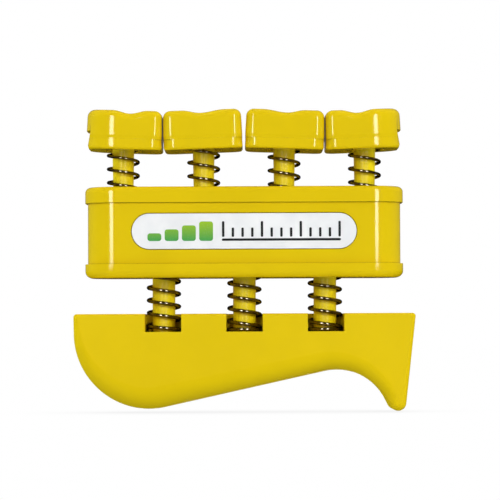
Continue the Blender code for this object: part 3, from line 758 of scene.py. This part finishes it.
# ---------------------------------------------------------------- retaining clips
CLIP_THICKNESS = 0.8
CLIP_MOUTH = (125, 415)  # degrees where the rim starts and ends; the mouth faces the rear
TOOTH_ANGLES, TOOTH_HALF, TOOTH_EASE, TOOTH_DEPTH = (150, 270, 390), 20, 8, 0.9


def clip(x, groove, groove_radius, outer):
    """Open ring in a groove, with three inward teeth."""
    rim = arc((x, 0), outer, *CLIP_MOUTH, 96)
    bore = []
    for angle in range(410, 129, -2):
        away = min(abs(angle - tooth) for tooth in TOOTH_ANGLES) - TOOTH_HALF
        t = min(max(away / TOOTH_EASE, 0.0), 1.0)
        radius = groove_radius + CLIP_GAP + TOOTH_DEPTH * t * t * (3 - 2 * t)
        turn = math.radians(angle)
        bore.append((x + radius * math.cos(turn), radius * math.sin(turn)))
    bottom = groove + CLIP_GAP
    ring = upright(rim + bore, bottom, bottom + CLIP_THICKNESS)
    return soften(ring, 0.08, segments=2, angle=60)


for n, x in enumerate(POST_X, 1):
    ring = clip(x, POST_GROOVE, POST_GROOVE_RADIUS, outer=4.9)
    stand_in(f"post_clip_{n}", ring, CLIP, "grip")
for n, x in enumerate(FINGER_X, 1):
    ring = clip(x, PLUNGER_GROOVE, PLUNGER_GROOVE_RADIUS, outer=4.5)
    stand_in(f"plunger_clip_{n}", ring, CLIP, f"finger_{n}")


# ---------------------------------------------------------------- housing
LIP_HALF_X, LIP_HALF_Y, LIP_CORNER = TOP_HIGH.x, TOP_HIGH.y, 9.2
SLEEVE_STEP = LIP_HALF_X - SLEEVE_HIGH.x
SLEEVE_TOP, SLEEVE_BOTTOM = SLEEVE_HIGH.z, SLEEVE_LOW.z
SLEEVE_INNER = SLEEVE_STEP + 2.2
SLEEVE_ROUND, CAP_JOINT_ROUND = 0.06, 0.07
# The cap's plate, and the rim that enters the sleeve.
PLATE, RIM_DEPTH, RIM_PLAY, RIM_WALL = 3.2, 2.0, 0.12, 1.4
TUBE_ROOT = 1.2  # how far below the outer face a tube starts


def case_plan(inset):
    return plan(-LIP_HALF_X, LIP_HALF_X, LIP_HALF_Y, LIP_CORNER, LIP_CORNER, inset, corner=28)


def cap_shell(outer_z, joint_z, edge_round, up):
    """A cap without its tubes; up is 1 for the top cap and -1 for the bottom one."""
    loops = []
    for inset, drop in reversed(fillet(edge_round, 10)):
        loops.append(level(case_plan(inset), outer_z - up * drop))
    for inset, drop in fillet(CAP_JOINT_ROUND, 3):
        loops.append(level(case_plan(inset), joint_z + up * drop))
    inner = SLEEVE_INNER + RIM_PLAY
    loops.append(level(case_plan(inner), joint_z))
    loops.append(level(case_plan(inner), joint_z - up * RIM_DEPTH))
    loops.append(level(case_plan(inner + RIM_WALL), joint_z - up * RIM_DEPTH))
    loops.append(level(case_plan(inner + RIM_WALL), outer_z - up * PLATE))
    return loft(loops)


def housing_cap(
    node, outer_z, joint_z, edge_round, up, places, tube_radius, tube_end, bore_radius,
    seat_depth, seat_round,
):
    """A cap with a bored tube and a spring seat at each place."""

    def on_seat_rim(point):
        near = any(math.hypot(point.x - x, point.y) < SEAT_RADIUS + 0.2 for x in places)
        return near and abs(point.z - outer_z) < 0.02

    past = outer_z + up * OVERCUT
    root = outer_z - up * TUBE_ROOT
    tubes = [cylinder(tube_radius, tube_end, root, x) for x in places]
    cap = carve(cap_shell(outer_z, joint_z, edge_round, up), tubes, "UNION")
    bores = [cylinder(bore_radius, tube_end - up * OVERCUT, past, x) for x in places]
    seats = [cylinder(SEAT_RADIUS, outer_z - up * seat_depth, past, x, 96) for x in places]
    cap = soften(carve(cap, bores + seats), seat_round, where=on_seat_rim, angle=60)
    stand_in(node, cap, YELLOW, "housing")


housing_cap(
    "housing_top_cap", outer_z=HOUSING_TOP, joint_z=SLEEVE_TOP + 2 * HAIRLINE, edge_round=1.6,
    up=1, places=FINGER_X, tube_radius=5.0, tube_end=FINGER_TUBE_END, bore_radius=3.45,
    seat_depth=FINGER_SEAT_DEPTH, seat_round=0.18,
)
housing_cap(
    "housing_bottom_cap", outer_z=HOUSING_BOTTOM, joint_z=SLEEVE_BOTTOM - 2 * HAIRLINE,
    edge_round=2.0, up=-1, places=POST_X, tube_radius=5.1, tube_end=POST_TUBE_END,
    bore_radius=3.55, seat_depth=POST_SEAT_DEPTH, seat_round=0.15,
)

BADGE_Z = (BADGE_LOW.z + BADGE_HIGH.z) / 2
BADGE_LENGTH, BADGE_HEIGHT = BADGE_HIGH.x - BADGE_LOW.x, BADGE_HIGH.z - BADGE_LOW.z
BADGE_FACE = BADGE_LOW.y
RECESS_PLAY, RECESS_BACK = 0.5, BADGE_HIGH.y + 0.04


def badge_outline(grow=0.0):
    """The badge's round-ended outline, with its length and height grown."""
    radius = (BADGE_HEIGHT + grow) / 2
    end_x = (BADGE_LENGTH + grow) / 2 - radius
    right = arc((end_x, BADGE_Z), radius, -90, 90, 32)
    return right + arc((-end_x, BADGE_Z), radius, 90, 270, 32)


def on_recess_rim(point):
    in_height = abs(point.z - BADGE_Z) < BADGE_HEIGHT
    in_length = abs(point.x) < BADGE_LENGTH / 2 + 1
    return abs(point.y - SLEEVE_LOW.y) < 0.01 and in_height and in_length


def sleeve():
    """Tube between the caps, with a recess for the badge in its front."""
    rounds = fillet(SLEEVE_ROUND, 3)
    loops = [
        level(case_plan(SLEEVE_STEP + inset), SLEEVE_BOTTOM + drop)
        for inset, drop in reversed(rounds)
    ]
    for inset, drop in rounds:
        loops.append(level(case_plan(SLEEVE_STEP + inset), SLEEVE_TOP - drop))
    bore = case_plan(SLEEVE_INNER)
    hollow = loft([level(bore, SLEEVE_BOTTOM - OVERCUT), level(bore, SLEEVE_TOP + OVERCUT)])
    recess = prism([badge_outline(RECESS_PLAY)], SLEEVE_LOW.y - 2, RECESS_BACK)
    return soften(carve(loft(loops), [hollow, recess]), 0.06, where=on_recess_rim, angle=60)


stand_in("housing_sleeve", sleeve(), YELLOW, "housing")

badge = soften(prism([badge_outline()], BADGE_FACE, BADGE_HIGH.y), 0.10, segments=4, angle=60)
stand_in("badge", badge, WHITE, "housing")


def rounded_bar(x_low, x_high, z_low, z_high, radius):
    left, right, low, high = x_low + radius, x_high - radius, z_low + radius, z_high - radius
    centres = ((right, low), (right, high), (left, high), (left, low))
    points = []
    for k, centre in enumerate(centres):
        points += arc(centre, radius, 90 * k - 90, 90 * k, 10)
    return points


def printed(name, outlines, look):
    """Raised print, 0.03 mm thick and sunk 0.02 mm, as one piece of several closed pads."""
    pads = prism(outlines, BADGE_FACE - 0.03, BADGE_FACE + 0.02)
    piece(name, pads, look, "housing")


# A resistance scale: four rising bars, then a ruler line with ticks. Heights are from BADGE_Z.
PRINT_BOTTOM = BADGE_Z - 2.9
BAR_START, BAR_PITCH, BAR_WIDTH, BAR_TOP, BAR_RISE = -28.6, 5.1, 4.1, -0.6, 1.15
RULER_X, RULER_TOP = (-6.6, 28.6), -2.2
TICK_START, TICK_PITCH, TICK_HALF, TICK_BOTTOM = -6.2, 2.87, 0.36, -1.75
TICK_LONG, TICK_SHORT = 2.9, 1.0

bars = []
for k in range(4):
    left = BAR_START + BAR_PITCH * k
    bar_top = BADGE_Z + BAR_TOP + BAR_RISE * k
    bars.append(rounded_bar(left, left + BAR_WIDTH, PRINT_BOTTOM, bar_top, 0.8))
printed("badge_print_bars", bars, GREEN)

ruler = [rounded_bar(*RULER_X, PRINT_BOTTOM, BADGE_Z + RULER_TOP, 0.3)]
for k in range(13):
    x = TICK_START + TICK_PITCH * k
    tick_top = BADGE_Z + (TICK_LONG if k % 4 == 0 else TICK_SHORT)
    ruler.append(rounded_bar(x - TICK_HALF, x + TICK_HALF, BADGE_Z + TICK_BOTTOM, tick_top, 0.3))
printed("badge_print_scale", ruler, BLACK)


# ---------------------------------------------------------------- finger heads
# A head is drawn as the left one of its kind, from its own foot at z 0.
HEAD_HEIGHT, HEAD_HALF_X, HEAD_HALF_Y = 11.95, 11.75, 12.3
HEAD_OUTER_X, HEAD_OUTER_CORNER = 10.95, 8.8  # the outer side of an end head
HEAD_CORNER, SKIRT_CORNER = 2.6, 3.4
PARTING = 3.1  # height of the joint between base and pad
DRAFT = math.tan(math.radians(1.2))
TOP_FILLET, CROWN, CAP_WALL = 2.2, 0.5, 1.9
BASE_FILLET, JOINT_FILLET = 0.8, 0.02
BAND_IN, BAND_HEIGHT = 0.10, 1.2  # the pad's foot draws in by this much over this height
CANT = 1.85  # lean in degrees
# Dip across the top: (x of its lowest line, reach to low x, reach to high x, depth).
GROOVE_OUTER = (2.1, 5.2, 5.2, 0.95)
GROOVE_INNER = (-0.55, 5.4, 7.2, 0.85)
# Notch in the outer side of an end head: (x, z).
NOTCH = [
    (-HEAD_OUTER_X - 2, 5.45), (-HEAD_OUTER_X + 1.35, 5.45), (-HEAD_OUTER_X + 0.65, 1.0),
    (-HEAD_OUTER_X + 1.0, -0.1), (-HEAD_OUTER_X + 1.0, -1.5), (-HEAD_OUTER_X - 2, -1.5),
]


def head_plan(outer, inset, radius):
    left = HEAD_OUTER_X if outer else HEAD_HALF_X
    left_radius = HEAD_OUTER_CORNER if outer else radius
    return plan(
        -left, HEAD_HALF_X, HEAD_HALF_Y, left_radius, radius, inset, corner=14, along=26, across=10
    )


def head_top(outer, x, y):
    """Height of the top: a finger groove and a slight fall to front and rear."""
    offset, before, after, depth = GROOVE_OUTER if outer else GROOVE_INNER
    half = before if x < offset else after
    dip = 0.0
    if abs(x - offset) < half:
        dip = depth * 0.5 * (1 + math.cos(math.pi * (x - offset) / half))
    return HEAD_HEIGHT - dip - CROWN * (y / HEAD_HALF_Y) ** 2


def pad_mesh(outer):
    def flat_loop(inset, z):
        return level(head_plan(outer, inset, HEAD_CORNER), z)

    def top_loop(points, drop=0.0):
        return [(x, y, head_top(outer, x, y) - drop) for x, y in points]

    loops = [flat_loop(CAP_WALL, HEAD_HEIGHT - 3.4), flat_loop(CAP_WALL, PARTING)]
    for inset, drop in reversed(fillet(JOINT_FILLET, 3)):
        loops.append(flat_loop(BAND_IN + inset, PARTING + drop))
    # the foot of the pad draws in a little towards the parting line
    for k in range(5):
        ease = (1 + math.cos(math.pi * k / 4)) / 2
        loops.append(flat_loop(BAND_IN * ease, PARTING + 0.12 + (BAND_HEIGHT - 0.12) * k / 4))
    lean = DRAFT * (HEAD_HEIGHT - TOP_FILLET - PARTING)
    for inset, drop in fillet(TOP_FILLET, 12):
        loops.append(top_loop(head_plan(outer, lean + inset, HEAD_CORNER), drop))
    rim = head_plan(outer, lean + TOP_FILLET, HEAD_CORNER)
    middle = (min(x for x, _ in rim) + max(x for x, _ in rim)) / 2
    for k in range(1, 16):
        share = 1 - k / 16
        loops.append(top_loop([(middle + (x - middle) * share, y * share) for x, y in rim]))
    return loft(loops, tip=(middle, 0, head_top(outer, middle, 0)))


def base_mesh(outer):
    loops = []
    for inset, drop in reversed(fillet(BASE_FILLET, 6)):
        loops.append(level(head_plan(outer, inset, SKIRT_CORNER), drop))
    joint = PARTING - HAIRLINE
    for inset, drop in fillet(JOINT_FILLET, 3):
        loops.append(level(head_plan(outer, BAND_IN + inset, SKIRT_CORNER), joint - drop))
    plug = head_plan(outer, CAP_WALL + 0.15, HEAD_CORNER)
    loops += [level(plug, joint), level(plug, PARTING + 2.4)]
    return loft(loops)


def head_matrix(index):
    """Stands a head over its plunger, leaning, and mirrored on the right."""
    lean = CANT if index in (0, 2) else -CANT
    mirror = Matrix.Diagonal((-1 if index > 1 else 1, 1, 1, 1))
    place = Matrix.Translation((FINGER_X[index], 0, HEAD_BASE_Z))
    return place @ Matrix.Rotation(math.radians(lean), 4, "Y") @ mirror


def notched(mesh, width):
    def on_notch(point):
        return point.x < -HEAD_OUTER_X + 1.4 and 1.9 < point.z < 5.6

    return soften(carve(mesh, [prism([NOTCH], -16, 16)]), width, where=on_notch, angle=35)


def bored(base, x):
    """The placed base with an upright spigot hole and spring seat, square to the plunger."""

    def on_seat_rim(point):
        off = abs(math.hypot(point.x - x, point.y) - SEAT_RADIUS)
        return point.z < HEAD_BASE_Z + 0.6 and off < 0.03

    below = HEAD_BASE_Z - OVERCUT
    base = carve(base, [
        cylinder(SPIGOT_RADIUS + 0.3, below, HEAD_BASE_Z + 9, x),
        cylinder(SEAT_RADIUS, below, HEAD_BASE_Z + HEAD_SEAT_DEPTH, x, 96),
    ])
    return soften(base, 0.15, where=on_seat_rim, angle=60)


for index, x in enumerate(FINGER_X):
    finger = f"finger_{index + 1}"
    outer = index in (0, 3)
    pad, base = pad_mesh(outer), base_mesh(outer)
    if outer:
        pad, base = notched(pad, 0.14), notched(base, 0.10)
    matrix = head_matrix(index)
    stand_in(f"finger_pad_{index + 1}", moved(pad, matrix), YELLOW, finger)
    base = bored(moved(base, matrix), x)
    stand_in(f"button_base_{index + 1}", base, YELLOW, finger)


# ---------------------------------------------------------------- springs
FINGER_SPRING = dict(outside=9.95, wire=0.95, turns=4.72)
POST_SPRING = dict(outside=10.35, wire=1.08, turns=5.89)
# Where round the coil each spring starts, in turns.
FINGER_SPRING_PHASE = (0.105, 0.56, 0.95, 0.065)
POST_SPRING_PHASE = (0.83, 0.17, 0.145)
# A closed end climbs at this share of the open pitch for END_TURNS, then eases over EASE_TURNS.
END_CLIMB, END_TURNS, EASE_TURNS = 0.06, 0.42, 0.68


def wire_maker(name, wire):
    """Nodes that sweep a round wire along a polyline, so the wire stays round as it squashes."""
    group = bpy.data.node_groups.new(name, "GeometryNodeTree")
    for way in ("INPUT", "OUTPUT"):
        group.interface.new_socket("Geometry", in_out=way, socket_type="NodeSocketGeometry")
    nodes, links = group.nodes, group.links
    start, end = nodes.new("NodeGroupInput"), nodes.new("NodeGroupOutput")
    to_curve = nodes.new("GeometryNodeMeshToCurve")
    circle = nodes.new("GeometryNodeCurvePrimitiveCircle")
    circle.inputs["Resolution"].default_value = 20
    circle.inputs["Radius"].default_value = wire / 2 * MILLI
    sweep = nodes.new("GeometryNodeCurveToMesh")
    sweep.inputs["Fill Caps"].default_value = True
    shade = nodes.new("GeometryNodeSetShadeSmooth")
    paint = nodes.new("GeometryNodeSetMaterial")
    paint.inputs["Material"].default_value = WIRE
    links.new(start.outputs[0], to_curve.inputs[0])
    links.new(to_curve.outputs[0], sweep.inputs["Curve"])
    links.new(circle.outputs["Curve"], sweep.inputs["Profile Curve"])
    links.new(sweep.outputs["Mesh"], shade.inputs[0])
    links.new(shade.outputs[0], paint.inputs[0])
    links.new(paint.outputs[0], end.inputs[0])
    return group


def coil(node, x, z_low, z_high, phase, outside, wire, turns, maker, body, joint):
    """Left-hand compression spring whose closed ends ease into the open coils."""
    radius = (outside - wire) / 2
    bottom, top = z_low + wire / 2, z_high - wire / 2
    steps = round(turns * 48)
    open_turns = turns - 2 * END_TURNS - EASE_TURNS
    pitch = (top - bottom) / (END_CLIMB * turns + (1 - END_CLIMB) * open_turns)

    def climb(turn):
        s = min(max((turn - END_TURNS) / EASE_TURNS, 0.0), 1.0)
        rise = EASE_TURNS * (s**3 - s**4 / 2) + max(0.0, turn - END_TURNS - EASE_TURNS)
        return pitch * (END_CLIMB * turn + (1 - END_CLIMB) * rise)

    points = []
    for k in range(steps + 1):
        turn = turns * k / steps
        angle = -math.pi / 2 - 2 * math.pi * (turn - phase)
        z = bottom + climb(turn) if turn <= turns / 2 else top - climb(turns - turn)
        point = (x + radius * math.cos(angle), radius * math.sin(angle), z)
        points.append([value * MILLI for value in point])
    name = f"{node}_fine"
    mesh = bpy.data.meshes.new(name)
    mesh.from_pydata(points, [(k, k + 1) for k in range(steps)], [])
    mesh.materials.append(WIRE)
    made = bpy.data.objects.new(name, mesh)
    bpy.context.scene.collection.objects.link(made)
    made.modifiers.new("wire", "NODES").node_group = maker
    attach(made, body)
    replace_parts(made, node)
    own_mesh(made)


finger_maker = wire_maker("finger_wire", FINGER_SPRING["wire"])
post_maker = wire_maker("post_wire", POST_SPRING["wire"])
for n, (x, phase) in enumerate(zip(FINGER_X, FINGER_SPRING_PHASE), 1):
    coil(
        f"finger_spring_{n}", x, HOUSING_TOP - FINGER_SEAT_DEPTH + SEAT_GAP, HEAD_SHOULDER, phase,
        **FINGER_SPRING, maker=finger_maker, body="housing", joint=f"finger_{n}_press",
    )
for n, (x, phase) in enumerate(zip(POST_X, POST_SPRING_PHASE), 1):
    coil(
        f"post_spring_{n}", x, POCKET_FLOOR + SEAT_GAP,
        HOUSING_BOTTOM + POST_SEAT_DEPTH - SEAT_GAP, phase,
        **POST_SPRING, maker=post_maker, body="grip", joint="housing_press",
    )


# ---------------------------------------------------------------- floor and world (metres)
PURE_WHITE = (1.0, 1.0, 1.0)


def floor_material():
    """Near-white glowing floor, with a painted contact shadow: a touch darker where something
    stands close to it.
    """
    tree = ShaderTree(bpy.data.materials.new("pale_floor"), "ShaderNodeOutputMaterial")
    place = tree.add("ShaderNodeTexCoord").outputs["Object"]
    # painted contact shadow: the floor's glow is dimmed where the occlusion finds something close
    painted_contact_shadow = tree.occlusion(distance=0.03, samples=8)
    shade = tree.ramp(painted_contact_shadow, low=0.0, high=1.0, to_low=0.88, to_high=1.0)
    grain = tree.patches(place, scale=40.0, low=0.3, high=0.7, to=(0.998, 1.0))
    strength = tree.times(shade, grain)
    glow = tree.add("ShaderNodeEmission", {"Color": PURE_WHITE, "Strength": strength})
    tree.finish(glow.outputs[0])
    return tree.owner


def studio_floor():
    work = bmesh.new()
    bmesh.ops.create_grid(work, x_segments=1, y_segments=1, size=4.0)
    mesh = bpy.data.meshes.new("studio_floor")
    work.to_mesh(mesh)
    work.free()
    floor = bpy.data.objects.new("studio_floor", mesh)
    floor.location = (0, 0, -0.0004)
    mesh.materials.append(floor_material())
    bpy.context.scene.collection.objects.link(floor)
    floor.visible_diffuse = floor.visible_glossy = floor.visible_shadow = False


def studio_world():
    """White to the camera, soft ambient to diffuse rays, and a dim room to gloss."""
    world = bpy.data.worlds.new("studio")
    bpy.context.scene.world = world
    tree = ShaderTree(world, "ShaderNodeOutputWorld")

    def background(strength):
        inputs = {"Color": PURE_WHITE, "Strength": strength}
        return tree.add("ShaderNodeBackground", inputs).outputs[0]

    def choose(switch, off, on):
        return tree.add("ShaderNodeMixShader", {0: switch, 1: off, 2: on}).outputs[0]

    rays = tree.add("ShaderNodeLightPath").outputs
    white = background(strength=1.0)
    ambient = background(strength=0.285)
    # gloss sees a dark room in front, and behind it a pale wall above a dark table edge
    direction = tree.add("ShaderNodeTexCoord").outputs["Generated"]
    way = tree.add("ShaderNodeSeparateXYZ", {"Vector": direction}).outputs
    ahead = tree.ramp(way["Y"], low=-0.5, high=0.3, to_low=0.045, to_high=0.0)
    wall = tree.ramp(way["Y"], low=-0.5, high=0.3, to_low=0.0, to_high=0.12)
    above = tree.ramp(way["Z"], low=-0.01, high=0.03, to_low=0.02, to_high=1.0)
    dim = background(strength=tree.plus(ahead, tree.times(wall, above)))
    soft = choose(rays["Is Glossy Ray"], ambient, dim)
    tree.finish(choose(rays["Is Camera Ray"], soft, white))


studio_floor()
studio_world()


# ---------------------------------------------------------------- lights (metres, watts)
def area(name, location, target, size, power, glossy=True, diffuse=True, colour=PURE_WHITE):
    """Rectangular lamp of (width, height) aimed at a target."""
    lamp = bpy.data.lights.new(name, "AREA")
    lamp.shape = "RECTANGLE"
    lamp.size, lamp.size_y = size
    lamp.energy = power
    lamp.color = colour
    made = bpy.data.objects.new(name, lamp)
    made.location = location
    made.rotation_mode = "QUATERNION"
    made.rotation_quaternion = (Vector(target) - Vector(location)).to_track_quat("-Z", "Y")
    made.visible_glossy = glossy
    made.visible_diffuse = diffuse
    made.visible_camera = False
    bpy.context.scene.collection.objects.link(made)


def softbox(azimuth, low, high, width, power, radius=0.75):
    """Upright softbox seen only in gloss, at degrees from the front, between two heights."""
    turn = math.radians(azimuth)
    middle = (low + high) / 2
    place = (radius * math.sin(turn), -radius * math.cos(turn), middle)
    size = (width, high - low)
    area(f"softbox_{azimuth:+.0f}", place, (0, 0, middle), size, power, diffuse=False)


softbox(azimuth=-19.5, low=0.0595, high=0.60, width=0.170, power=3.0)
softbox(azimuth=19.5, low=0.0585, high=0.60, width=0.160, power=2.8)

# Broad diffusers all round, which light the shape without showing in its gloss:
# azimuth from the front and elevation in degrees, size, watts.
DIFFUSERS = {
    "key": (25, 22, 0.45, 6.3), "key_low": (25, 0, 0.45, 0.9),
    "key_left": (-25, 22, 0.45, 1.8), "under_left": (-50, -50, 0.45, 1.9),
    "side_left": (-80, -20, 0.45, 4.2), "side_right": (80, -20, 0.45, 3.5),
    "low_right": (50, -20, 0.45, 0.7), "top": (0, 89, 0.8, 5.8),
    "rim_left": (-115, 22, 0.45, 5.6), "rear_right": (150, 25, 0.45, 4.0),
    "rear_low": (180, -22, 0.45, 8.2),
}
DIFFUSER_DISTANCE = 1.2
MIDDLE = Vector((0, 0, 0.045))
FILL_GREEN = (0.90, 1.0, 0.93)
for name, (azimuth, elevation, size, watts) in DIFFUSERS.items():
    turn, rise = math.radians(azimuth), math.radians(elevation)
    toward = Vector((
        math.sin(turn) * math.cos(rise), -math.cos(turn) * math.cos(rise), math.sin(rise),
    ))
    # the fill from below and from behind is faintly green
    colour = FILL_GREEN if elevation < 0 or abs(azimuth) > 100 else PURE_WHITE
    place = MIDDLE + DIFFUSER_DISTANCE * toward
    area(name, place, MIDDLE, (size, size), watts, glossy=False, colour=colour)


# ---------------------------------------------------------------- view and camera
view = bpy.context.scene.view_settings
view.view_transform = "Standard"
view.look = "None"
view.exposure = 0.0
view.gamma = 1.0

# Place in metres, lens in millimetres; it looks along +Y with these small angles in degrees.
CAMERA = dict(place=(0.0, -0.8627, 0.0236), lens=207.3, pitch=1.626, turn=-0.115, roll=-0.24)
camera = bpy.data.objects.new("camera", bpy.data.cameras.new("camera"))
camera.data.sensor_width = 36.0
camera.data.lens = CAMERA["lens"]
camera.data.clip_start, camera.data.clip_end = 0.01, 20.0
camera.location = CAMERA["place"]
camera.rotation_mode = "QUATERNION"
camera.rotation_quaternion = (
    Matrix.Rotation(math.radians(CAMERA["turn"]), 3, "Z")
    @ Matrix.Rotation(math.radians(90 + CAMERA["pitch"]), 3, "X")
    @ Matrix.Rotation(math.radians(CAMERA["roll"]), 3, "Z")
).to_quaternion()
bpy.context.scene.collection.objects.link(camera)
bpy.context.scene.camera = camera
